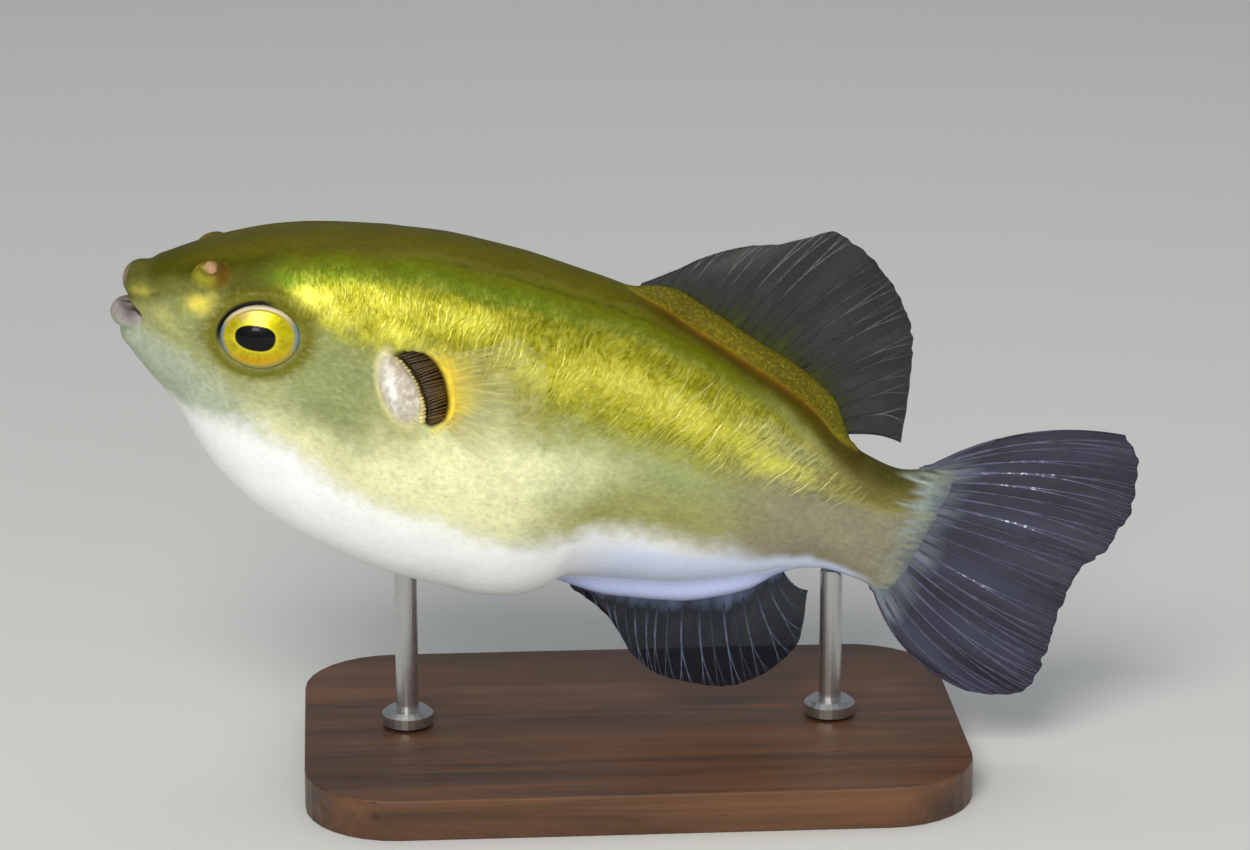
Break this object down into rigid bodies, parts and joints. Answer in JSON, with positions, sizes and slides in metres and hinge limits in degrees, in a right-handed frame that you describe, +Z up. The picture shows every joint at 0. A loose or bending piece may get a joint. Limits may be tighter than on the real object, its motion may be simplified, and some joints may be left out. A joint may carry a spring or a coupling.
{
  "type": "golden freshwater pufferfish model on a stand",
  "caption": "Still, life-size model of a golden freshwater pufferfish swimming head up, with spread fins, held by two thin rods on a flat wooden base.",
  "frame": {"origin": "centre of the stand base's underside", "axes": "+Z up, -X towards the fish's head, +X towards its tail, -Y its left side"},
  "size_m": [0.0988, 0.04, 0.0543],
  "materials": {
    "skin": "wet, fine-grained fish skin: olive back, metallic gold flank, white belly",
    "fins": "thin translucent membrane over fine pale rays",
    "eyes": "golden iris round a black pupil under a clear cornea",
    "stand_wood": "dark oiled walnut",
    "stand_steel": "brushed stainless rod"
  },
  "bodies": {
    "root": {"head": "skin", "torso": "skin", "tail": "skin", "dorsal_fin": "fins", "anal_fin": "fins", "caudal_fin": "fins", "pectoral_fin_left": "fins", "pectoral_fin_right": "fins", "eye_left": "eyes", "eye_right": "eyes", "stand_base": "stand_wood", "stand_rod_front": "stand_steel", "stand_rod_rear": "stand_steel"}
  },
  "joints": []
}
